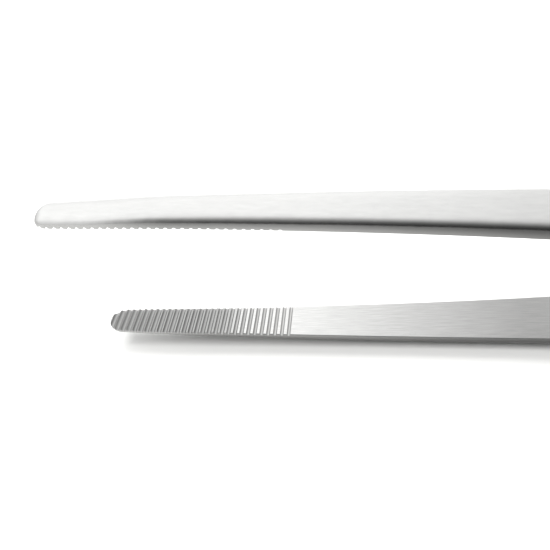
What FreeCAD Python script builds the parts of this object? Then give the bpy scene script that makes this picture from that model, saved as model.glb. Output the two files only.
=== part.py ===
import FreeCAD, Part
import math
import os

from FreeCAD import Vector

# Dissecting forceps: two sprung steel limbs, welded together at the tail.
#
# Each limb is a long strip with a flat inner face and a rounded back, in a D section.
# It starts as a blunt rounded nose with a serrated jaw, bows through the shank, widens
# into a fluted finger grip, thins into the spring and ends in a flat, round-ended tail.
#
# The limbs are drawn about the plane midway between them. There x runs back from the
# tips, y across the limb and z up from that plane. The forceps are then tilted until
# they lie on the back of the lower grip. The tips point to -X, the jaws open up and down.
# Every size is in millimetres.

# Outline of the pair
overall_length = 145.0
tip_opening = 15.14        # between the two inner faces at the tips, limbs free
bow_length = 43.5          # from the tips, the stretch that bows towards the other limb
weld_length = 8.0          # flat tail, face to face with the other limb
root_bend_length = 10.0    # the bend that brings a limb flat in front of the weld
root_relief = 0.06         # each inner face is relieved by this much in front of the weld

# Places along a limb, measured from the tips
nose_length = 4.0
jaw_middle = 12.0
jaw_root = 20.5
shank_end = 54.0
grip_front = 62.0
grip_back = 100.0
spring_start = 116.0

# Widths of the inner face
jaw_width = 2.92
jaw_middle_width = 3.13
jaw_root_width = 3.40
bow_end_width = 4.54
grip_width = 8.4
spring_width = 7.6
tail_width = 8.0

# Thicknesses, from the inner face to the top of the back
nose_thickness = 1.15
jaw_thickness = 1.42
shank_thickness = 1.50
shank_end_thickness = 1.60
grip_thickness = 2.12
spring_thickness = 1.30
tail_thickness = 0.85

# Rounding of the D section
jaw_shoulder_radius = 0.60
shank_shoulder_radius = 0.70
tail_shoulder_radius = 0.40
jaw_crown_rise = 0.25
shank_crown_rise = 0.16
grip_crown_rise = 0.20
tail_crown_rise = 0.06
edge_break = 0.07          # the small bevel along both edges of the inner face

# The blunt nose, seen from above and from the side
nose_fullness = 2.5        # 2 is an ellipse, more is blunter
nose_dome_length = 1.5
nose_dome_fullness = 2.0

# Serrations across the jaws
serration_pitch = 0.70
tip_groove_depth = 0.24
root_groove_depth = 0.16
groove_floor = 0.10        # the width of the bottom of a groove
groove_flank = 40.0        # degrees from upright
first_groove = 0.50
lower_groove_count = 29
upper_groove_count = 30

# Flutes across the back of the finger grip
flute_pitch = 2.5
flute_radius = 1.1
flute_depth = 0.30
flute_inset = 2.0          # from each end of the grip to the middle of its first flute

# The flat that is ground on the crown of the grip, for the forceps to lie on
grip_flat_depth = 0.09
grip_flat_width = 3.2
grip_flat_overrun = 1.0    # how far the flat runs on past each end of the grip
flat_side_slope = 0.10     # the grinding falls away this steeply beside the flat
flat_end_slope = 0.05      # and this steeply off its two ends

# The weld round the edge of the tail
weld_size = 0.30           # the bevel on each limb that the weld metal fills
weld_recess = 0.03         # the weld metal is dressed this much below the edge

# Drawing values
section_spacing = 8.0      # the widest step between two sections of a limb
nose_section_count = 8
tool_overrun = 1.0         # how far a cutter stands out of what it cuts

# Places and slopes that follow
weld_front = overall_length - weld_length
tail_centre = overall_length - tail_width / 2
root_bend_start = weld_front - root_bend_length
straight_meets = weld_front - root_bend_length / 2
limb_slope = tip_opening / 2 / (straight_meets - bow_length / 2)


def through(x, points):
    """A smooth value at x that runs through (place, value) points with no overshoot."""
    steps = [(b[1] - a[1]) / (b[0] - a[0]) for a, b in zip(points, points[1:])]
    slopes = [0.0]
    for before, after in zip(steps, steps[1:]):
        turns = before * after <= 0
        slopes.append(0.0 if turns else 2 * before * after / (before + after))
    slopes.append(0.0)
    for i, (start, end) in enumerate(zip(points, points[1:])):
        if x <= end[0]:
            break
    span = end[0] - start[0]
    u = min(max((x - start[0]) / span, 0.0), 1.0)
    ease = u * u * (3 - 2 * u)
    level = start[1] * (1 - ease) + end[1] * ease
    lean_in = slopes[i] * span * u * (1 - u) ** 2
    lean_out = slopes[i + 1] * span * u * u * (1 - u)
    return level + lean_in - lean_out


def half_gap(x):
    """From the middle plane to the inner face: bowed, straight, then bent flat."""
    if x <= bow_length:
        return tip_opening / 2 - limb_slope * x * x / (2 * bow_length)
    if x <= root_bend_start:
        return limb_slope * (straight_meets - x)
    return limb_slope * (weld_front - x) ** 2 / (2 * root_bend_length)


def relief(x):
    """The inner faces part by a little more as they come near to the weld."""
    return through(x, ((grip_back, 0.0), (weld_front, root_relief)))


def width(x):
    return through(x, ((nose_length, jaw_width), (jaw_middle, jaw_middle_width),
                       (jaw_root, jaw_root_width), (bow_length, bow_end_width),
                       ((grip_front + grip_back) / 2, grip_width),
                       (grip_back, grip_width), (spring_start, spring_width),
                       (weld_front, tail_width)))


def thickness(x):
    return through(x, ((nose_length, nose_thickness), (jaw_middle, jaw_thickness),
                       (bow_length, shank_thickness), (shank_end, shank_end_thickness),
                       (grip_front, grip_thickness),
                       (grip_back, grip_thickness), (spring_start, spring_thickness),
                       (root_bend_start, spring_thickness), (tail_centre, tail_thickness)))


def shoulder_radius(x):
    return through(x, ((nose_length, jaw_shoulder_radius), (jaw_root, shank_shoulder_radius),
                       (grip_back, shank_shoulder_radius), (spring_start, tail_shoulder_radius)))


def crown_rise(x):
    return through(x, ((nose_length, jaw_crown_rise), (bow_length, shank_crown_rise),
                       (grip_front, grip_crown_rise), (grip_back, grip_crown_rise),
                       (spring_start, tail_crown_rise)))


def rounded_end(x, length, fullness):
    """The share of the full size at x, on an end that is rounded over length."""
    left = max(1 - x / length, 0.0)
    return (1 - left ** fullness) ** (1 / fullness)


def section_points(x, face, wide, thick, shoulder, rise, bevel):
    """The far half of a D section, from the middle of its face to the top of its back."""
    half = wide / 2
    reach = half - shoulder
    spring_line = face + thick - shoulder - rise
    crown = reach * reach / (2 * rise) + rise / 2 + shoulder
    crown_centre = face + thick - crown
    lean = math.atan2(spring_line - crown_centre, reach)
    middle_lean = lean / 2
    quarter_lean = (lean + math.pi / 2) / 2
    return {
        "face": Vector(x, half - bevel, face),
        "edge": Vector(x, half, face + bevel),
        "wall": Vector(x, half, spring_line),
        "shoulder": Vector(x, reach + shoulder * math.cos(middle_lean),
                           spring_line + shoulder * math.sin(middle_lean)),
        "join": Vector(x, crown * math.cos(lean), crown_centre + crown * math.sin(lean)),
        "quarter": Vector(x, crown * math.cos(quarter_lean),
                          crown_centre + crown * math.sin(quarter_lean)),
        "top": Vector(x, 0, face + thick),
    }


def limb_section(x, face):
    """The sizes of the D section at x, smaller within the nose."""
    across = rounded_end(x, nose_length, nose_fullness)
    up = rounded_end(x, nose_dome_length, nose_dome_fullness)
    wide = width(x) * across
    thick = thickness(x) * up
    shoulder = min(shoulder_radius(x) * across, thick / 2)
    rise = crown_rise(x) * across
    return section_points(x, face, wide, thick, shoulder, rise, edge_break * across)


def near(point):
    return Vector(point.x, -point.y, point.z)


def section_wire(p):
    """The whole D section as a closed wire, the same eight edges at every place."""
    return Part.Wire([
        Part.LineSegment(near(p["face"]), p["face"]).toShape(),
        Part.LineSegment(p["face"], p["edge"]).toShape(),
        Part.LineSegment(p["edge"], p["wall"]).toShape(),
        Part.Arc(p["wall"], p["shoulder"], p["join"]).toShape(),
        Part.Arc(p["join"], p["top"], near(p["join"])).toShape(),
        Part.Arc(near(p["join"]), near(p["shoulder"]), near(p["wall"])).toShape(),
        Part.LineSegment(near(p["wall"]), near(p["edge"])).toShape(),
        Part.LineSegment(near(p["edge"]), near(p["face"])).toShape(),
    ])


def loft(places, inner_face, ruled=False):
    """A stretch of limb through the sections at these places."""
    wires = [section_wire(limb_section(x, inner_face(x))) for x in places]
    return Part.makeLoft(wires, True, ruled)


def between(start, end):
    """Places from start to end, evenly spaced."""
    steps = math.ceil((end - start) / section_spacing)
    return [start + (end - start) * i / steps for i in range(steps + 1)]


def sprung_face(x):
    return half_gap(x) + relief(x)


def tail_end():
    """The round end of the tail: half of its D section turned about the tail's centre."""
    p = limb_section(tail_centre, 0.0)
    centre = Vector(tail_centre, 0, 0)
    outline = Part.Wire([
        Part.LineSegment(centre, p["face"]).toShape(),
        Part.LineSegment(p["face"], p["edge"]).toShape(),
        Part.LineSegment(p["edge"], p["wall"]).toShape(),
        Part.Arc(p["wall"], p["shoulder"], p["join"]).toShape(),
        Part.Arc(p["join"], p["quarter"], p["top"]).toShape(),
        Part.LineSegment(p["top"], centre).toShape(),
    ])
    return Part.Face(outline).revolve(centre, Vector(0, 0, -1), 180)


def strip():
    """One limb before its jaw and grip are cut: nose, shank, grip, spring and tail."""
    nose_places = [nose_length * (i / nose_section_count) ** 2
                   for i in range(1, nose_section_count + 1)]
    nose = loft(nose_places, sprung_face)
    shank = loft(between(nose_length, bow_length)
                 + between(bow_length, weld_front)[1:], sprung_face)
    tail = loft([weld_front, tail_centre], lambda x: 0.0, ruled=True)
    return shank.multiFuse([nose, tail, tail_end()]).removeSplitter()


def groove_cutter(x):
    """A bar across the jaw at x with sloping flanks, as deep as one serration."""
    depth = tip_groove_depth + (root_groove_depth - tip_groove_depth) * x / jaw_root
    bottom = half_gap(x) + depth
    outside = half_gap(x) - tool_overrun
    floor = groove_floor / 2
    mouth = floor + (bottom - outside) * math.tan(math.radians(groove_flank))
    bar = Part.makePolygon([
        Vector(x - floor, -jaw_root_width, bottom),
        Vector(x + floor, -jaw_root_width, bottom),
        Vector(x + mouth, -jaw_root_width, outside),
        Vector(x - mouth, -jaw_root_width, outside),
        Vector(x - floor, -jaw_root_width, bottom),
    ])
    return Part.Face(bar).extrude(Vector(0, 2 * jaw_root_width, 0))


def serrations(count, shift):
    """The row of grooves of one jaw. A shift of half a pitch lets the jaws mesh."""
    places = [first_groove + serration_pitch * (i + shift) for i in range(count)]
    return [groove_cutter(x) for x in places]


def back_height(x):
    """The ground flat on the back of the grip, above the middle plane."""
    return limb_slope * (straight_meets - x) + grip_thickness - grip_flat_depth


def level_ring(front, back, half, drop):
    """A rectangle this far below the ground flat, as a closed wire."""
    corners = [Vector(x, y, back_height(x) - drop)
               for x, y in ((front, -half), (back, -half), (back, half), (front, half))]
    return Part.makePolygon(corners + corners[:1])


def grip_grinder():
    """All that is ground off the crown of the grip, which leaves a flat bevelled all round."""
    front = grip_front - grip_flat_overrun
    back = grip_back + grip_flat_overrun
    half = grip_flat_width / 2
    off_end = grip_thickness / flat_end_slope
    off_side = grip_thickness / flat_side_slope
    left = Part.makeLoft([
        level_ring(front - off_end, back + off_end, half + off_side, grip_thickness),
        level_ring(front, back, half, 0.0),
    ], True, True)
    ground = [level_ring(bow_length, spring_start, grip_width, drop)
              for drop in (grip_flat_depth + grip_thickness / 2, -tool_overrun)]
    return Part.makeLoft(ground, True, True).cut(left)


def flutes():
    """Round-bottomed flutes across the back of the grip, one pitch apart."""
    first = grip_front + flute_inset
    last = grip_back - flute_inset
    count = int((last - first) / flute_pitch) + 1
    start = (first + last - flute_pitch * (count - 1)) / 2
    bars = []
    for i in range(count):
        x = start + flute_pitch * i
        middle = Vector(x, -grip_width, back_height(x) - flute_depth + flute_radius)
        bars.append(Part.makeCylinder(flute_radius, 2 * grip_width, middle, Vector(0, 1, 0)))
    return bars


def weld_run(outline):
    """A bar of this cross-section along both sides of the tail and round its end."""
    far = [Vector(weld_front, y, z) for y, z in outline]
    face = Part.Face(Part.makePolygon(far + far[:1]))
    length = tail_centre - weld_front
    side = face.extrude(Vector(length, 0, 0))
    centre = Vector(tail_centre, 0, 0)
    at_end = face.translated(Vector(length, 0, 0))
    turn = at_end.revolve(centre, Vector(0, 0, -1), 180)
    return side.multiFuse([turn, side.mirror(centre, Vector(0, 1, 0))]).removeSplitter()


def weld_bevel():
    """What is cut from the edges of both tails, to leave a V for the weld metal."""
    root = tail_width / 2 - weld_size
    out = weld_size + tool_overrun
    return weld_run(((root, 0), (root + out, -out), (root + out, out)))


def weld_metal():
    root = tail_width / 2 - weld_size
    fill = weld_size - weld_recess
    return weld_run(((root, 0), (root + fill, -fill), (root + fill, fill)))


def limb(groove_count, shift):
    """The limb above the middle plane: its jaw, its grip and its tail cut in turn."""
    shape = strip()
    for cutters in (serrations(groove_count, shift), [grip_grinder()], flutes(), [weld_bevel()]):
        shape = shape.cut(cutters)
    return shape


def one_solid(shape):
    return shape.Solids[0] if len(shape.Solids) == 1 else shape


def build():
    """Every piece, drawn about the middle plane and then laid on the lower grip."""
    pieces = {
        "upper_limb": limb(upper_groove_count, 0.5),
        "lower_limb": limb(lower_groove_count, 0.0).mirror(Vector(), Vector(0, 0, 1)),
        "tail_weld": weld_metal(),
    }
    tilt = math.degrees(math.atan(limb_slope))
    laid = {}
    for name, shape in pieces.items():
        laid[name] = one_solid(shape.rotated(Vector(), Vector(0, 1, 0), tilt))
    box = Part.makeCompound(list(laid.values())).optimalBoundingBox()
    middle = Vector((box.XMin + box.XMax) / 2, 0, box.ZMin)
    return {name: shape.translated(-middle) for name, shape in laid.items()}


os.makedirs("parts", exist_ok=True)
for name, shape in build().items():
    shape.exportStep("parts/" + name + ".step")
    box = shape.optimalBoundingBox()
    print(name, shape.ShapeType, "valid", shape.isValid(), "volume", round(shape.Volume, 2),
          "x", round(box.XMin, 3), round(box.XMax, 3), "z", round(box.ZMin, 3), round(box.ZMax, 3))
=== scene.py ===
# %% [markdown]
# # Dissecting forceps
# Two sprung steel limbs, welded together at the tail, with serrated jaws. They lie on the
# back of the lower grip, and the camera looks at the jaws from close by.
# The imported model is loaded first, because every piece below has to fit it.

# %% Load the fixed frame
import math

import bpy
from mathutils import Matrix, Vector


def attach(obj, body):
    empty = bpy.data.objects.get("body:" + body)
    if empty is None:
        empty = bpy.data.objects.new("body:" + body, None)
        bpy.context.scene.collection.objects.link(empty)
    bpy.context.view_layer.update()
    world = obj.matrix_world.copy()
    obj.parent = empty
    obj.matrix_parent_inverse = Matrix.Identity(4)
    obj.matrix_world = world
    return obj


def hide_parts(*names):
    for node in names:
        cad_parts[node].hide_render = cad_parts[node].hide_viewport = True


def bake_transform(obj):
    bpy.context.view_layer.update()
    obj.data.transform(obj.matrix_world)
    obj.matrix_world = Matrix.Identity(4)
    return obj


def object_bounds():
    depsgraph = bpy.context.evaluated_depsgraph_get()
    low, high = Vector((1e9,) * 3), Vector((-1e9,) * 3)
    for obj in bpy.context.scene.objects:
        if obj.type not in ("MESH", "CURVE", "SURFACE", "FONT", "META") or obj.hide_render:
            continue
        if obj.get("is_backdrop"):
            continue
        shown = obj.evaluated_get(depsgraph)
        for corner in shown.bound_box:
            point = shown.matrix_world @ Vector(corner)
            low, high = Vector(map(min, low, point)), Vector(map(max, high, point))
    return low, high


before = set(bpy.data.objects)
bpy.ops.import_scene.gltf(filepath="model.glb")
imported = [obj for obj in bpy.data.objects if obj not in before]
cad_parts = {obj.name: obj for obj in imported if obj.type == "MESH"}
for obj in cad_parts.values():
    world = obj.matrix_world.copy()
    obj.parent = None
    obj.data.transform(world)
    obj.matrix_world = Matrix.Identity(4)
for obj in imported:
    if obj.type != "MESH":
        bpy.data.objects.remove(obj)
cad_box = [list(corner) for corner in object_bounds()]

# %% [markdown]
# Every limb is drawn in millimetres about the plane midway between the two: x runs back
# from the tips, y across and z up from that plane. The pair is then tilted until it lies on
# the lower grip. One matrix does that for whole meshes, for the camera and for places on a
# limb. The lower limb is the upper one's mirror image, so the matrix can flip it as well.

# %% The limb's own drawing space and the table's
MM = 0.001
TILT = math.radians(3.92789)
# The point of the tilted drawing that lies at the frame's origin.
DRAWING_ORIGIN = Vector((72.10418, 0.0, -11.06734))


def on_table(mirrored=False):
    """From a limb's drawing, in millimetres, to the frame of the table, in metres."""
    lay = Matrix.Rotation(TILT, 4, "Y")
    flip = Matrix.Diagonal((1, 1, -1, 1)) if mirrored else Matrix.Identity(4)
    return Matrix.Scale(MM, 4) @ Matrix.Translation(-DRAWING_ORIGIN) @ lay @ flip


print("tip of the mid-plane lies at", [round(v, 5) for v in on_table() @ Vector((0, 0, 0))])

# %% [markdown]
# The camera stands close beside the jaws and above them, and looks down at about 48
# degrees. Its lens, place and turn were worked out from the even spacing of the serrations
# and from the outlines of both limbs, and are kept as they came out. It is set first, so
# that each piece can be judged in the picture.

# %% Camera
SENSOR_WIDTH, LENS = 36.0, 29.324
EYE = Vector((26.785, -25.521, 30.616))
PICTURE_RIGHT = Vector((0.98418, 0.11224, -0.13706))
PICTURE_DOWN = Vector((-0.00151, -0.76833, -0.64005))
PICTURE_AHEAD = Vector((-0.17715, 0.63014, -0.75601))


def make_camera():
    """The camera, placed and turned in the drawing and then laid like the limbs."""
    data = bpy.data.cameras.new("close_up")
    data.sensor_width = SENSOR_WIDTH
    data.lens = LENS
    data.clip_start = 0.002
    data.clip_end = 10.0
    camera = bpy.data.objects.new("close_up", data)
    bpy.context.scene.collection.objects.link(camera)
    turn = Matrix((PICTURE_RIGHT, -PICTURE_DOWN, -PICTURE_AHEAD)).transposed().to_4x4()
    lay = Matrix.Rotation(TILT, 4, "Y")
    camera.matrix_world = Matrix.Translation(on_table() @ EYE) @ lay @ turn
    bpy.context.scene.camera = camera
    return camera


camera = make_camera()
print("camera at", [round(v * 1000, 2) for v in camera.location], "mm")

# %% [markdown]
# A limb is forged from one strip and ground to shape. Its form follows a few laws along its
# length: how far the inner face stands from the mid-plane, how wide and thick the strip is,
# and how its back is rounded. Each law is a smooth curve through a few (place, size)
# points, in millimetres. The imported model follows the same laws. Here the nose is blunter
# and the shoulders are rounder than in it, by a fraction of a millimetre, as in the picture.

# %% The sizes of a limb
OVERALL = 145.0
TAIL_WIDTH = 8.0
TAIL_CENTRE = OVERALL - TAIL_WIDTH / 2
WELD_FRONT = 137.0
BEND_LENGTH = 10.0
BOW_LENGTH = 43.5
TIP_OPENING = 15.14
# Where the straight runs of the two limbs would meet if they went on.
STRAIGHT_MEETS = 132.0
LIMB_SLOPE = TIP_OPENING / 2 / (STRAIGHT_MEETS - BOW_LENGTH / 2)
GRIP_THICKNESS = 2.12
# The nose is rounded over these lengths, in plan and seen from the side.
NOSE_START = 0.12
NOSE_ROUND, NOSE_FULLNESS = 1.9, 2.5
DOME_LENGTH, DOME_FULLNESS = 1.3, 2.0
print("the limbs' slope is", round(LIMB_SLOPE, 4))

# %% The laws of a limb
WIDTH = ((1.9, 2.76), (4, 2.92), (12, 3.18), (20.5, 3.48), (BOW_LENGTH, 4.64), (81, 8.4),
         (100, 8.4), (116, 7.6), (WELD_FRONT, TAIL_WIDTH))
THICKNESS = ((4, 1.15), (12, 1.42), (BOW_LENGTH, 1.50), (54, 1.60), (62, GRIP_THICKNESS),
             (100, GRIP_THICKNESS), (116, 1.30), (127, 1.30), (TAIL_CENTRE, 0.85))
SHOULDER = ((4, 0.60), (20.5, 0.85), (100, 0.85), (116, 0.40))
CROWN = ((4, 0.25), (BOW_LENGTH, 0.16), (62, 0.20), (100, 0.20), (116, 0.06))
# How much the inner face is ground back in front of the weld.
RELIEF = ((100, 0.0), (WELD_FRONT, 0.06))


def through(x, points):
    """A smooth value at x that runs through (place, value) points with no overshoot."""
    steps = [(b[1] - a[1]) / (b[0] - a[0]) for a, b in zip(points, points[1:])]
    slopes = [0.0]
    for before, after in zip(steps, steps[1:]):
        slopes.append(0.0 if before * after <= 0 else 2 * before * after / (before + after))
    slopes.append(0.0)
    for i, (start, end) in enumerate(zip(points, points[1:])):
        if x <= end[0]:
            break
    span = end[0] - start[0]
    u = min(max((x - start[0]) / span, 0.0), 1.0)
    ease = u * u * (3 - 2 * u)
    lean = slopes[i] * u * (1 - u) ** 2 - slopes[i + 1] * u * u * (1 - u)
    return start[1] * (1 - ease) + end[1] * ease + lean * span


for place in (0, 20.5, 62, 137):
    print("at", place, "mm: width", round(through(place, WIDTH), 2),
          "thickness", round(through(place, THICKNESS), 2))

# %% [markdown]
# The inner face is bowed from the tip to the end of the shank, so that the jaws meet tip
# first and then along their length. It runs on straight under the grip and the spring, and
# bends until it lies flat against the other limb at the weld.

# %% The inner face and the rounded ends
def relief_at(x):
    """How far the face is ground back at x, so that the limbs touch only at the weld."""
    return through(x, RELIEF) if x < WELD_FRONT else 0.0


def face_height(x):
    """From the mid-plane to the inner face: bowed, straight, then bent flat at the weld."""
    if x <= BOW_LENGTH:
        height = TIP_OPENING / 2 - LIMB_SLOPE * x * x / (2 * BOW_LENGTH)
    elif x <= WELD_FRONT - BEND_LENGTH:
        height = LIMB_SLOPE * (STRAIGHT_MEETS - x)
    else:
        height = LIMB_SLOPE * max(WELD_FRONT - x, 0.0) ** 2 / (2 * BEND_LENGTH)
    return height + relief_at(x)


def rounded_end(x, length, fullness):
    """The share of the full size at x, on an end that is rounded over length."""
    left = max(1 - x / length, 0.0)
    return (1 - left ** fullness) ** (1 / fullness)


print("face heights", [round(face_height(place), 3) for place in (0, 20.5, 62, 137)])

# %% [markdown]
# Each grip has a narrow flat ground along its back, before the flutes are cut across it.
# It falls off gently on both sides and beyond its ends. The lower limb lies on it. It is a
# limit on how high the back may stand, and not a cut, so that the skin stays one piece.

# %% The ground flat on the grip
FLAT_DEPTH = 0.09
FLAT_HALF = 1.6
FLAT_FRONT, FLAT_BACK = 61.0, 101.0
FLAT_SIDE_SLOPE, FLAT_END_SLOPE = 0.10, 0.05
# The sections between these places are held under the flat, and stay this thick at least.
GROUND_FROM, GROUND_TO = 50, 118
THINNEST = 0.5


def ground_level(x, y):
    """How high above the mid-plane the back may stand, where the grip is ground flat."""
    level = LIMB_SLOPE * (STRAIGHT_MEETS - x) + GRIP_THICKNESS - FLAT_DEPTH
    beside = FLAT_SIDE_SLOPE * max(abs(y) - FLAT_HALF, 0.0)
    beyond = FLAT_END_SLOPE * max(FLAT_FRONT - x, x - FLAT_BACK, 0.0)
    return level - max(beside, beyond)


print("the flat stands", round(ground_level(81, 0.0) - face_height(81), 2), "mm above the face")

# %% [markdown]
# The cross-section is a D: a flat inner face with broken edges, short upright walls, and a
# back that is rounded by a small arc at each shoulder and a flatter one over the crown.
# It is worked out as half an outline, from the middle of the face to the top of the back.

# %% The D section
FACE_STEPS, WALL_STEPS, SHOULDER_STEPS, CROWN_STEPS = 5, 3, 8, 12
EDGE_BREAK = 0.07
WELD_BEVEL = 0.30
# The share of the thickness that a shoulder may take.
MOST_SHOULDER = 0.65


def section_sizes(x):
    """Half the width, the thickness, the shoulder's radius, the crown's rise, the bevel."""
    across = rounded_end(x - NOSE_START, NOSE_ROUND, NOSE_FULLNESS)
    up = rounded_end(x - NOSE_START, DOME_LENGTH, DOME_FULLNESS)
    half = through(x, WIDTH) * across / 2
    thick = through(x, THICKNESS) * up
    shoulder = min(through(x, SHOULDER) * across, thick * MOST_SHOULDER)
    rise = through(x, CROWN) * across
    bevel = WELD_BEVEL if x >= WELD_FRONT else EDGE_BREAK * across
    return half, thick, shoulder, rise, min(bevel, thick / 4)


def back_curve(half, thick, shoulder, rise):
    """From the top of the wall to the middle of the back, by a small arc and a flat one."""
    reach = half - shoulder
    wall_top = thick - shoulder - rise
    crown = reach * reach / (2 * rise) + rise / 2 + shoulder
    lean = math.atan2(wall_top - (thick - crown), reach)
    points = []
    for i in range(SHOULDER_STEPS + 1):
        turn = lean * i / SHOULDER_STEPS
        points.append((reach + shoulder * math.cos(turn), wall_top + shoulder * math.sin(turn)))
    for i in range(1, CROWN_STEPS + 1):
        turn = lean + (math.pi / 2 - lean) * i / CROWN_STEPS
        points.append((crown * math.cos(turn), thick - crown + crown * math.sin(turn)))
    return points


def half_section(x):
    """Half of the section at x, as (y, z) from the mid-plane."""
    half, thick, shoulder, rise, bevel = section_sizes(x)
    back = back_curve(half, thick, shoulder, rise)
    wall_top = back[0][1]
    points = [((half - bevel) * i / FACE_STEPS, 0.0) for i in range(FACE_STEPS + 1)]
    points += [(half, bevel + (wall_top - bevel) * i / WALL_STEPS) for i in range(WALL_STEPS)]
    points += back
    base, relief = face_height(x), relief_at(x)
    # The relief is taken from the face alone, so the back stays smooth over the weld's front.
    points = [(y, z + base - (relief if z > 0 else 0.0)) for y, z in points]
    if GROUND_FROM < x < GROUND_TO:
        points = [(y, min(z, max(ground_level(x, y), base + THINNEST))) for y, z in points]
    points[-1] = (0.0, points[-1][1])
    return points


print("points in half a section", len(half_section(30)))

# %% [markdown]
# The blank limb is these sections joined into a skin. It could also be modelled by hand
# and smoothed by subdivision, but the laws give every section its true size, close together
# where the camera is close and where the shape turns. The round tail is the last section
# swept about the tail's own centre.

# %% Where the sections stand
DENSE_NOSE, NOSE_SECTIONS = 4.0, 24
FIRST_SECTION = 0.004


def spaced(start, end, step):
    """Evenly spaced places after start, up to and with end."""
    count = max(round((end - start) / step), 1)
    return [start + (end - start) * i / count for i in range(1, count + 1)]


def stations():
    """Where along the limb a section stands."""
    nose = [NOSE_START + (DENSE_NOSE - NOSE_START) * (i / NOSE_SECTIONS) ** 2
            for i in range(1, NOSE_SECTIONS + 1)]
    nose[0] = NOSE_START + FIRST_SECTION
    return (nose + spaced(4, 50, 0.5) + spaced(50, 127, 1.0) + spaced(127, 136.98, 0.5)
            + [WELD_FRONT] + spaced(WELD_FRONT, TAIL_CENTRE, 1.0))


print("sections", len(stations()))

# %% The blank limb
TAIL_TURNS = 32


def mesh_object(name, vertices, faces):
    """A new object with a mesh of these points and faces, linked to the scene."""
    mesh = bpy.data.meshes.new(name)
    mesh.from_pydata(vertices, [], faces)
    piece = bpy.data.objects.new(name, mesh)
    bpy.context.scene.collection.objects.link(piece)
    return piece


def section_rings():
    """The points of all the sections, and each section's ring of point numbers."""
    vertices, rings = [], []
    for x in stations():
        half = half_section(x)
        ring = half + [(-y, z) for y, z in reversed(half[1:-1])]
        rings.append(list(range(len(vertices), len(vertices) + len(ring))))
        vertices += [(x, y, z) for y, z in ring]
    return vertices, rings


def add_round_tail(vertices, faces, last):
    """Sweeps half of the last section about the tail's centre, from side to side."""
    half = half_section(TAIL_CENTRE)
    side = last[:len(half)]
    for k in range(1, TAIL_TURNS + 1):
        turn = math.pi * k / TAIL_TURNS
        if k < TAIL_TURNS:
            middle = range(len(vertices), len(vertices) + len(half) - 2)
            far = [side[0], *middle, side[-1]]
            vertices += [(TAIL_CENTRE + y * math.sin(turn), y * math.cos(turn), z)
                         for y, z in half[1:-1]]
        else:
            far = [last[0]] + list(reversed(last[len(half):])) + [last[len(half) - 1]]
        for i in range(len(half) - 1):
            corners = [side[i], side[i + 1], far[i + 1], far[i]]
            faces.append(tuple(dict.fromkeys(corners)))
        side = far


def blank_limb(name):
    """A closed skin through all the sections, with its round tail."""
    vertices, rings = section_rings()
    faces = []
    for a, b in zip(rings, rings[1:]):
        size = len(a)
        faces += [(a[i], a[(i + 1) % size], b[(i + 1) % size], b[i]) for i in range(size)]
    faces.append(tuple(reversed(rings[0])))
    add_round_tail(vertices, faces, rings[-1])
    blank = mesh_object(name, vertices, faces)
    blank.data.validate()
    print(name, len(blank.data.vertices), "points", len(blank.data.polygons), "faces")
    return blank


print("points round a section", 2 * len(half_section(30)) - 2)

# %% [markdown]
# Serrations and flutes are both rows of equal cuts along a path, so one Geometry Nodes tree
# makes them all: it sets points along a curve, puts a cutter on each, and cuts them from the
# blank. An Array modifier could repeat a cutter as well, but not along a bowed face and from
# one size to another. Each cut may also differ a little from its neighbours, as cuts made
# one after another do, and the cutters bring a finish of their own into the cut.
# One small function adds each node, sets its values and links what comes into it.

# %% What the tree is given
def add_node(tree, kind, sockets=None, **settings):
    """A node with its settings, its values and its links."""
    node = tree.nodes.new(kind)
    for key, value in settings.items():
        setattr(node, key, value)
    for key, value in (sockets or {}).items():
        if isinstance(value, bpy.types.NodeSocket):
            tree.links.new(value, node.inputs[key])
        else:
            node.inputs[key].default_value = value
    return node


ROW_INPUTS = {
    "Path": "NodeSocketObject",
    "Cutter": "NodeSocketObject",
    "Count": "NodeSocketInt",
    "Size at the front": "NodeSocketVector",
    "Size at the back": "NodeSocketVector",
    "Uneven": "NodeSocketFloat",
    "Seed": "NodeSocketInt",
    "Cut finish": "NodeSocketMaterial",
}


def row_inputs(tree):
    """Names the tree's output and inputs, and gives the inputs back as sockets."""
    face = tree.interface
    face.new_socket("Geometry", in_out="OUTPUT", socket_type="NodeSocketGeometry")
    face.new_socket("Geometry", in_out="INPUT", socket_type="NodeSocketGeometry")
    for name, kind in ROW_INPUTS.items():
        face.new_socket(name, in_out="INPUT", socket_type=kind)
    return tree.nodes.new("NodeGroupInput").outputs


print("inputs", list(ROW_INPUTS))

# %% The tree that cuts a row
def cutter_sizes(tree, given):
    """Each cutter's size: the front's, then nearer to the back's, and uneven by chance."""
    index = add_node(tree, "GeometryNodeInputIndex")
    last = add_node(tree, "ShaderNodeMath", {0: given["Count"], 1: 1.0}, operation="SUBTRACT")
    share = add_node(tree, "ShaderNodeMath", {0: index.outputs[0], 1: last.outputs[0]},
                     operation="DIVIDE")
    whole = add_node(tree, "ShaderNodeVectorMath",
                     {0: given["Size at the back"], 1: given["Size at the front"]},
                     operation="SUBTRACT")
    part = add_node(tree, "ShaderNodeVectorMath",
                    {0: whole.outputs[0], "Scale": share.outputs[0]}, operation="SCALE")
    size = add_node(tree, "ShaderNodeVectorMath",
                    {0: given["Size at the front"], 1: part.outputs[0]})
    low = add_node(tree, "ShaderNodeMath", {0: 1.0, 1: given["Uneven"]}, operation="SUBTRACT")
    high = add_node(tree, "ShaderNodeMath", {0: 1.0, 1: given["Uneven"]}, operation="ADD")
    chance = add_node(tree, "FunctionNodeRandomValue",
                      {"Min": low.outputs[0], "Max": high.outputs[0], "Seed": given["Seed"]},
                      data_type="FLOAT_VECTOR")
    uneven = add_node(tree, "ShaderNodeVectorMath",
                      {0: size.outputs[0], 1: chance.outputs[0]}, operation="MULTIPLY")
    return uneven.outputs[0]


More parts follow.
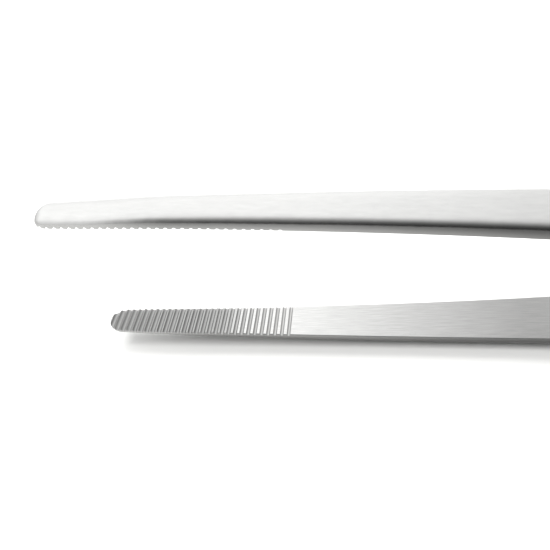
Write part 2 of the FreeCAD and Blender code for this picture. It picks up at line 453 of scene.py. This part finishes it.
def row_cutter_tree():
    """The tree: points along the path, a cutter on each, and all of them cut away."""
    tree = bpy.data.node_groups.new("cut_a_row", "GeometryNodeTree")
    given = row_inputs(tree)
    line = add_node(tree, "GeometryNodeObjectInfo", {"Object": given["Path"]})
    cutter = add_node(tree, "GeometryNodeObjectInfo", {"Object": given["Cutter"]})
    points = add_node(tree, "GeometryNodeCurveToPoints",
                      {"Curve": line.outputs["Geometry"], "Count": given["Count"]}, mode="COUNT")
    row = add_node(tree, "GeometryNodeInstanceOnPoints",
                   {"Points": points.outputs["Points"], "Instance": cutter.outputs["Geometry"],
                    "Scale": cutter_sizes(tree, given)})
    real = add_node(tree, "GeometryNodeRealizeInstances", {"Geometry": row.outputs[0]})
    finish = add_node(tree, "GeometryNodeSetMaterial",
                      {"Geometry": real.outputs[0], "Material": given["Cut finish"]})
    cut = add_node(tree, "GeometryNodeMeshBoolean",
                   {"Mesh 1": given["Geometry"], "Mesh 2": finish.outputs[0]},
                   operation="DIFFERENCE", solver="EXACT")
    out = tree.nodes.new("NodeGroupOutput")
    tree.links.new(cut.outputs["Mesh"], out.inputs[0])
    return tree


ROW_TREE = row_cutter_tree()


def cut_row(blank, **inputs):
    """Adds the tree to the blank, with these named inputs."""
    modifier = blank.modifiers.new("row", "NODES")
    modifier.node_group = ROW_TREE
    names = {item.name: item.identifier for item in ROW_TREE.interface.items_tree
             if item.in_out == "INPUT"}
    for name, value in inputs.items():
        modifier[names[name.replace("_", " ")]] = value
    return modifier


print("tree nodes", len(ROW_TREE.nodes))

# %% [markdown]
# On the real jaws a milling cutter leaves rounded grooves, square across the face. Here the
# cutter for one is a bar whose rounded edge is one unit wide and one deep, so that the
# tree's sizes are each groove's width and depth in millimetres. Its body reaches further,
# past the face and past both edges. The cutter for a flute is a plain round bar.

# %% The two cutters
SERRATION_PITCH = 0.70
GROOVE_ARC, GROOVE_STEPS = math.radians(62), 4
GROOVE_BODY, GROOVE_REACH = 3.0, 3.0
FLUTE_RADIUS, FLUTE_DEPTH, FLUTE_PITCH = 1.1, 0.30, 2.5
FLUTE_SIDES, FLUTE_REACH, FLUTE_COUNT = 40, 8.0, 15


def bar(name, outline, reach):
    """A closed bar across the limb with this outline in the plane of x and z."""
    count = len(outline)
    vertices = [(x, side * reach, z) for side in (-1, 1) for x, z in outline]
    faces = [(i, count + i, count + (i + 1) % count, (i + 1) % count) for i in range(count)]
    faces += [tuple(range(count)), tuple(reversed(range(count, 2 * count)))]
    return mesh_object(name, vertices, faces)


groove_turns = [GROOVE_ARC * (GROOVE_STEPS - i) / GROOVE_STEPS
                for i in range(2 * GROOVE_STEPS + 1)]
groove_round = [(0.5 * math.sin(turn) / math.sin(GROOVE_ARC),
                 (math.cos(turn) - math.cos(GROOVE_ARC)) / (1 - math.cos(GROOVE_ARC)))
                for turn in groove_turns]
groove_bar = bar("groove_bar", [(-0.5, -GROOVE_BODY), (0.5, -GROOVE_BODY)] + groove_round,
                 GROOVE_REACH)
flute_turns = [math.tau * i / FLUTE_SIDES for i in range(FLUTE_SIDES)]
flute_round = [(FLUTE_RADIUS * math.cos(turn), FLUTE_RADIUS * math.sin(turn))
               for turn in flute_turns]
flute_bar = bar("flute_bar", flute_round, FLUTE_REACH)
print("cutters", len(groove_bar.data.polygons), "and", len(flute_bar.data.polygons), "faces")

# %% [markdown]
# The cutters stand along two paths. The serrations' path lies in the inner face, and the
# flutes' path above the back, at the height where a round bar cuts as deep as a flute is.

# %% The paths of the rows
FIRST_GROOVE = 0.56
GRIP_MIDDLE = 81.0


def path(name, points):
    """A curve of straight runs through these points."""
    curve = bpy.data.curves.new(name, "CURVE")
    curve.dimensions = "3D"
    spline = curve.splines.new("POLY")
    spline.points.add(len(points) - 1)
    for point, place in zip(spline.points, points):
        point.co = (*place, 1.0)
    line = bpy.data.objects.new(name, curve)
    bpy.context.scene.collection.objects.link(line)
    return line


def jaw_path(count, shift):
    """Along the inner face, from the middle of the first groove to that of the last."""
    first = FIRST_GROOVE + SERRATION_PITCH * shift
    places = [first + SERRATION_PITCH * i for i in range(count)]
    return path("jaw_path", [(x, 0.0, face_height(x)) for x in places])


def grip_path(count):
    """Above the back of the grip, through the axes of the flutes."""
    start = GRIP_MIDDLE - FLUTE_PITCH * (count - 1) / 2
    places = [start + FLUTE_PITCH * i for i in range(count)]
    return path("grip_path", [(x, 0.0, ground_level(x, 0.0) - FLUTE_DEPTH + FLUTE_RADIUS)
                              for x in places])


print("the flutes start at", GRIP_MIDDLE - FLUTE_PITCH * (FLUTE_COUNT - 1) / 2, "mm")

# %% [markdown]
# Colours are written as sRGB hex values and turned to the linear light that shaders work in.

# %% Colour
def linear(hex_colour):
    """An sRGB hex colour as linear red, green, blue and alpha."""
    values = [int(hex_colour[i:i + 2], 16) / 255 for i in (1, 3, 5)]
    return [v / 12.92 if v <= 0.04045 else ((v + 0.055) / 1.055) ** 2.4 for v in values] + [1.0]


print("mid grey is", round(linear("#808080")[0], 3))

# %% [markdown]
# Both limbs are stainless steel, and each surface shows how it was made. Every pattern
# follows the limb's own space, in millimetres, so that it bends with the limb.
#
# The inner face is ground and then brushed along its length. Real brushing leaves lines a
# few hundredths of a millimetre apart, which are too fine for the picture, so they are
# drawn coarser: 0.1 mm apart and 2 mm long. The back is satin, from polishing by hand. Its
# marks are 0.3 mm apart and 1.4 mm long, so faint that the eye only sees a soft grey, over
# waves about 2 mm long. The serrations are milled, which leaves lines across the jaw. They
# too are drawn coarser, 0.12 mm apart and 2 mm long. The weld is dressed smooth. It has no
# place on a limb for a pattern to follow, so it stays plain.
#
# A picture of scratched steel could be laid over the limb instead, but noise stays sharp
# from close by and has no seams.
#
# Polished steel mostly shows what stands round it, and a plain studio has less to show than
# a real room. So the finishes also have a few tones that stand in for such reflections:
# one that goes along the limb, one at its front end, and one on its upright sides.

# %% The tones that stand in for reflections
# Sides count as upright by how far their normal turns across the limb.
UPRIGHT = (0.45, 0.98)
SIDE_HEIGHT = 0.7
SHANK = (20.0, 46.0)
NOSE = (4.0, 13.0)
SOFTLY = {"interpolation_type": "SMOOTHSTEP"}


def between(value, start, end, first, last):
    """What a Map Range node is given, to go from first to last as value does start to end."""
    return {"Value": value, "From Min": start, "From Max": end, "To Min": first, "To Max": last}


def painted_reflection_on_sides(tree, where, sides):
    """Painted reflection, darker on upright sides. Four tones: a side's at the face, its tone
    above, its share at the shank, the nose's.
    """
    turned = add_node(tree, "ShaderNodeTexCoord")
    normal = add_node(tree, "ShaderNodeSeparateXYZ", {0: turned.outputs["Normal"]})
    across = add_node(tree, "ShaderNodeMath", {0: normal.outputs["Y"]}, operation="ABSOLUTE")
    upright = add_node(tree, "ShaderNodeMapRange",
                       between(across.outputs[0], *UPRIGHT, 0.0, 1.0), **SOFTLY)
    wall = add_node(tree, "ShaderNodeMapRange",
                    between(where["Z"], 0.0, SIDE_HEIGHT, sides[0], sides[1]))
    shank = add_node(tree, "ShaderNodeMapRange", between(where["X"], *SHANK, 1.0, sides[2]),
                     **SOFTLY)
    behind = add_node(tree, "ShaderNodeMath", {0: wall.outputs[0], 1: shank.outputs[0]},
                      operation="MULTIPLY")
    nose = add_node(tree, "ShaderNodeMapRange", between(where["X"], *NOSE, 1.0, 0.0), **SOFTLY)
    side = add_node(tree, "ShaderNodeMix",
                    {0: nose.outputs[0], 2: behind.outputs[0], 3: sides[3]})
    return add_node(tree, "ShaderNodeMix",
                    {0: upright.outputs[0], 2: 1.0, 3: side.outputs[0]}).outputs[0]


def painted_reflections_along(tree, where, along, end):
    """Painted reflections along the limb. Along: from one place to another, two tones. End: the
    same, from one tone up to 1.
    """
    length = add_node(tree, "ShaderNodeMapRange", between(where["X"], *along))
    front = add_node(tree, "ShaderNodeMapRange", between(where["X"], *end, 1.0), **SOFTLY)
    return length.outputs[0], front.outputs[0]


print("sides are darkened up to", SIDE_HEIGHT, "mm above the face")

# %% [markdown]
# One function makes all four finishes. The scratches are one noise, stretched along the
# surface, that changes both the tone and the relief. Their relief and the waves' are
# heights in metres. The scratches' scale says how many of them go into a millimetre, along,
# across and up.

# %% The finish of the steel, with its painted reflections
WAVES_PER_MM = 0.45


def scratched_surface(tree, place, lines, scratch, waves):
    """The relief: broad waves, with the scratches' own lines on top of them."""
    broad = add_node(tree, "ShaderNodeTexNoise",
                     {"Vector": place, "Scale": WAVES_PER_MM, "Detail": 2.0})
    wave = add_node(tree, "ShaderNodeBump",
                    {"Height": broad.outputs["Fac"], "Strength": 1.0, "Distance": waves})
    relief = add_node(tree, "ShaderNodeBump",
                      {"Height": lines, "Strength": 1.0, "Distance": scratch,
                       "Normal": wave.outputs[0]})
    return relief.outputs[0]


def steel_shader(name, colour, roughness, scratch, scratch_scale, tones=(0.90, 1.06), waves=0.0,
                 along=(0.0, 1.0, 1.0, 1.0), sides=(1.0, 1.0, 1.0, 1.0), end=(0.0, 1.0, 1.0)):
    """Metal with scratches in tone and relief, and with painted reflections that lighten or darken
    it in places.
    """
    material = bpy.data.materials.new(name)
    material.use_nodes = True
    tree = material.node_tree
    shader = tree.nodes["Principled BSDF"]
    shader.inputs["Metallic"].default_value = 1.0
    shader.inputs["Roughness"].default_value = roughness
    place = add_node(tree, "ShaderNodeAttribute", attribute_name="limb_space").outputs["Vector"]
    where = add_node(tree, "ShaderNodeSeparateXYZ", {0: place}).outputs
    stretch = add_node(tree, "ShaderNodeMapping", {"Vector": place, "Scale": scratch_scale})
    lines = add_node(tree, "ShaderNodeTexNoise",
                     {"Vector": stretch.outputs[0], "Scale": 1.0, "Detail": 3.0, "Roughness": 0.6})
    tone = add_node(tree, "ShaderNodeMapRange", between(lines.outputs["Fac"], 0.3, 0.7, *tones))
    shade = tone.outputs[0]
    # Painted reflections: the scratches' tone is multiplied by the tones of the sides, the length
    # and the front.
    for painted_tone in (painted_reflection_on_sides(tree, where, sides), *painted_reflections_along(tree, where, along, end)):
        shade = add_node(tree, "ShaderNodeMath", {0: shade, 1: painted_tone},
                         operation="MULTIPLY").outputs[0]
    base = add_node(tree, "ShaderNodeMix", {"Factor": 1.0, 6: linear(colour), 7: shade},
                    data_type="RGBA", blend_type="MULTIPLY")
    tree.links.new(base.outputs[2], shader.inputs["Base Color"])
    relief = scratched_surface(tree, place, lines.outputs["Fac"], scratch, waves)
    tree.links.new(relief, shader.inputs["Normal"])
    return material


# Painted reflection on the brushed face: darkest in front of 12.6 mm, brightest from 15.6 to 19
# mm, then darker again back to 42 mm.
BRUSHED = steel_shader("brushed_face_and_painted_reflection", "#A6A6A5", roughness=0.24, scratch=0.00001,
                       scratch_scale=(0.5, 10.0, 10.0), tones=(0.91, 1.06),
                       along=(19.0, 42.0, 1.30, 0.66), end=(12.6, 15.6, 0.56))
# Painted reflection on the satin back: upright sides darker, most at 0.7 mm above the face and
# more along the shank, and the nose dark over its first 1.3 mm.
SATIN = steel_shader("satin_back_and_painted_reflection", "#B4B4B3", roughness=0.25, scratch=0.000002,
                     scratch_scale=(0.7, 3.0, 3.0), tones=(0.97, 1.03), waves=0.00005,
                     sides=(0.70, 0.30, 0.50, 0.80), end=(0.0, 1.3, 0.06))
# Painted reflection on the serrations: the grooves are darker in front of 10 mm than behind 20 mm.
GROUND = steel_shader("milled_serrations_and_painted_reflection", "#A8A8A7", roughness=0.30, scratch=0.000003,
                      scratch_scale=(8.0, 0.5, 8.0), along=(10.0, 20.0, 0.68, 1.05))
DRESSED = steel_shader("dressed_weld", "#A0A09F", roughness=0.34, scratch=0.000004,
                       scratch_scale=(1.5, 1.5, 1.5))
print("materials", [m.name for m in (BRUSHED, SATIN, GROUND, DRESSED)])

# %% [markdown]
# The two limbs differ only in their serrations, which stand half a pitch apart so that the
# jaws mesh. Each blank gets its grooves and flutes, is turned into a plain mesh, and is then
# laid in its place. Before that, every point keeps where it was on the limb, as an attribute
# that the finishes follow.

# %% A limb with its rows cut
GROOVE_AT_ROOT = (0.38, 1.0, 0.17)
FULL_SIZE = (1.0, 1.0, 1.0)
UNEVEN = 0.04
SHARP_ANGLE = math.radians(28)


def keep_limb_space(mesh):
    """Stores each point's place along, across and above the inner face, in millimetres."""
    space = mesh.attributes.new("limb_space", "FLOAT_VECTOR", "POINT")
    for vertex, kept in zip(mesh.vertices, space.data):
        x, y, z = vertex.co
        kept.vector = (x, y, z - face_height(x))


def cut_limb(blank, groove_count, shift, front_size):
    """The mesh of the blank with its serrations and its flutes cut."""
    jaw, grip = jaw_path(groove_count, shift), grip_path(FLUTE_COUNT)
    cut_row(blank, Path=jaw, Cutter=groove_bar, Count=groove_count,
            Size_at_the_front=front_size, Size_at_the_back=GROOVE_AT_ROOT,
            Uneven=UNEVEN, Seed=3 + groove_count, Cut_finish=GROUND)
    cut_row(blank, Path=grip, Cutter=flute_bar, Count=FLUTE_COUNT,
            Size_at_the_front=FULL_SIZE, Size_at_the_back=FULL_SIZE,
            Uneven=0.0, Seed=1, Cut_finish=SATIN)
    bpy.context.view_layer.update()
    shown = blank.evaluated_get(bpy.context.evaluated_depsgraph_get())
    mesh = bpy.data.meshes.new_from_object(shown)
    for spare in (blank, jaw, grip):
        bpy.data.objects.remove(spare)
    return mesh


def make_limb(name, groove_count, shift, front_size, mirrored):
    """A finished limb in its place, with front_size for the groove nearest the tip."""
    blank = blank_limb(name + "_blank")
    blank.data.materials.append(SATIN)
    blank.data.materials.append(BRUSHED)
    for face in blank.data.polygons:
        face.material_index = 1 if face.normal.z < -0.9 else 0
    mesh = cut_limb(blank, groove_count, shift, front_size)
    keep_limb_space(mesh)
    mesh.transform(on_table(mirrored))
    if mirrored:
        mesh.flip_normals()
    mesh.shade_smooth()
    mesh.set_sharp_from_angle(angle=SHARP_ANGLE)
    mesh.name = name
    limb = bpy.data.objects.new(name, mesh)
    bpy.context.scene.collection.objects.link(limb)
    print(name, len(mesh.polygons), "faces", [m.name for m in mesh.materials])
    return limb


print("at the root a groove is", GROOVE_AT_ROOT[0], "mm wide and", GROOVE_AT_ROOT[2], "mm deep")

# %% [markdown]
# The front grooves of the lower jaw are seen from above, as a row of dark bands, and those
# of the upper jaw from the side, as notches in its edge. Each row has the width and depth,
# its first and third number, that look right from there.

# %% The two limbs
lower_steel = make_limb("lower_limb_steel", 29, 0.0, (0.64, 1.0, 0.26), True)
upper_steel = make_limb("upper_limb_steel", 30, 0.5, (0.46, 1.0, 0.30), False)
for spare in (groove_bar, flute_bar):
    bpy.data.objects.remove(spare)
print("limbs", lower_steel.name, upper_steel.name)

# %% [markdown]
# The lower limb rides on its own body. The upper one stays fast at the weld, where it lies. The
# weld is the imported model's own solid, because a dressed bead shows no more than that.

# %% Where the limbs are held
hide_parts("lower_limb")
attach(lower_steel, "lower")
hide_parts("upper_limb")
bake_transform(upper_steel)
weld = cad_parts["tail_weld"]
weld.data.materials.clear()
weld.data.materials.append(DRESSED)

# %% [markdown]
# The forceps lie on a plain white table. It is painted a middle grey and lit so strongly
# that it comes out white, and what the limbs shade stays a soft grey.

# %% Table
TABLE_HALF = 3.0


def make_table():
    """A flat sheet, far wider than the picture."""
    corners = [(-1, -1), (1, -1), (1, 1), (-1, 1)]
    table = mesh_object("table", [(x * TABLE_HALF, y * TABLE_HALF, 0) for x, y in corners],
                        [(0, 1, 2, 3)])
    material = bpy.data.materials.new("white_table")
    material.use_nodes = True
    shader = material.node_tree.nodes["Principled BSDF"]
    shader.inputs["Base Color"].default_value = linear("#969695")
    shader.inputs["Roughness"].default_value = 0.8
    table.data.materials.append(material)
    table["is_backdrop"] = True
    return table


print("table", make_table().name, 2 * TABLE_HALF, "m wide")

# %% [markdown]
# Around the table is a plain soft studio, which the polished steel shows as a light back
# and a dark line along its near edge. A photograph of a room could give that light too, but
# a few ramps over the direction of a ray are easier to fit to one picture. A wide screen
# stands above and beyond the forceps, and gets dimmer from the tips towards the tail. A
# brighter pane stands high over the side of the tips. Low down the light is dimmer on the
# side of the tips than on the side of the tail. The camera itself sees plain white there.

# %% The light of the studio
SCREEN_MIDDLE = Vector((-0.20, 0.62, 0.76)).normalized()
# The screen is dark up to the first of these, by how near a ray comes to its middle, and
# full from the second one on. Then it gets its curve, its strength and the room's own light.
SCREEN_EDGE = (-0.65, 0.78)
SCREEN_CURVE, SCREEN_STRENGTH, ROOM_LIGHT = 1.4, 0.97, 0.03
# From and to a place, and from and to a strength there.
SCREEN_FADE = (-0.2, 0.8, 2.05, 1.45)
PANE_EDGE = (-0.30, -0.56, 0.0, 1.0)
PANE_STRENGTH = (0.55, 0.90, 1.95, 2.30)
LOW_LIGHT = (-0.6, 0.4, 0.78, 1.18)
HIGH_ENOUGH = (0.0, 0.5, 0.0, 1.0)


def screen_light(tree, ray, sides):
    """The wide screen above and beyond, dimmer towards the tail."""
    near = add_node(tree, "ShaderNodeVectorMath", {0: ray, 1: SCREEN_MIDDLE},
                    operation="DOT_PRODUCT")
    ramp = add_node(tree, "ShaderNodeMapRange",
                    between(near.outputs["Value"], *SCREEN_EDGE, 0.0, 1.0))
    curve = add_node(tree, "ShaderNodeMath", {0: ramp.outputs[0], 1: SCREEN_CURVE},
                     operation="POWER")
    screen = add_node(tree, "ShaderNodeMath",
                      {0: curve.outputs[0], 1: SCREEN_STRENGTH, 2: ROOM_LIGHT},
                      operation="MULTIPLY_ADD")
    fade = add_node(tree, "ShaderNodeMapRange", between(sides["X"], *SCREEN_FADE), **SOFTLY)
    return add_node(tree, "ShaderNodeMath", {0: screen.outputs[0], 1: fade.outputs[0]},
                    operation="MULTIPLY").outputs[0]


def pane_light(tree, sides):
    """The brighter pane over the side of the tips."""
    window = add_node(tree, "ShaderNodeMapRange", between(sides["X"], *PANE_EDGE), **SOFTLY)
    pane = add_node(tree, "ShaderNodeMapRange", between(sides["Z"], *PANE_STRENGTH), **SOFTLY)
    return add_node(tree, "ShaderNodeMath", {0: window.outputs[0], 1: pane.outputs[0]},
                    operation="MULTIPLY").outputs[0]


def low_level(tree, sides):
    """The share of the light that is left low down, and all of it higher up."""
    low = add_node(tree, "ShaderNodeMapRange", between(sides["X"], *LOW_LIGHT))
    high = add_node(tree, "ShaderNodeMapRange", between(sides["Z"], *HIGH_ENOUGH), **SOFTLY)
    return add_node(tree, "ShaderNodeMix",
                    {0: high.outputs[0], 2: low.outputs[0], 3: 1.0}).outputs[0]


def make_studio():
    """The world's light, put together from the screen, the pane and the low light."""
    world = bpy.data.worlds.new("studio")
    world.use_nodes = True
    bpy.context.scene.world = world
    tree = world.node_tree
    ray = add_node(tree, "ShaderNodeTexCoord").outputs["Generated"]
    sides = add_node(tree, "ShaderNodeSeparateXYZ", {0: ray}).outputs
    both = add_node(tree, "ShaderNodeMath",
                    {0: screen_light(tree, ray, sides), 1: pane_light(tree, sides)},
                    operation="MAXIMUM")
    light = add_node(tree, "ShaderNodeMath", {0: both.outputs[0], 1: low_level(tree, sides)},
                     operation="MULTIPLY")
    ray_kind = add_node(tree, "ShaderNodeLightPath")
    seen = add_node(tree, "ShaderNodeMix",
                    {0: ray_kind.outputs["Is Camera Ray"], 2: light.outputs[0], 3: 1.0})
    background = tree.nodes["Background"]
    tree.links.new(seen.outputs[0], background.inputs["Strength"])
    background.inputs["Color"].default_value = linear("#FFFFFF")
    return world


print("studio nodes", len(make_studio().node_tree.nodes))

# %% [markdown]
# One wide lamp, a little to the side of straight above, gives the table its light and the
# limbs their soft shadow. It is hidden from the steel, which shows the studio alone.

# %% The lamp
LAMP_STRENGTH = 12.5
LAMP_WIDTH = math.radians(70)
LAMP_TURN = (-math.radians(6), math.radians(17), 0)


def make_lamp():
    """A soft lamp that is as wide as a large window near by."""
    lamp = bpy.data.lights.new("soft_lamp", "SUN")
    lamp.energy = LAMP_STRENGTH
    lamp.angle = LAMP_WIDTH
    holder = bpy.data.objects.new("soft_lamp", lamp)
    holder.rotation_euler = LAMP_TURN
    holder.visible_glossy = False
    bpy.context.scene.collection.objects.link(holder)
    return holder


print("lamp", make_lamp().name)
bpy.context.scene.view_settings.view_transform = "Standard"

# %% Sizes and finish
shown_box = [list(corner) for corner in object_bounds()]
grown = [[round((b - a) * 1000, 3) for a, b in zip(c, s)] for c, s in zip(cad_box, shown_box)]
print("grown by, in mm", grown)
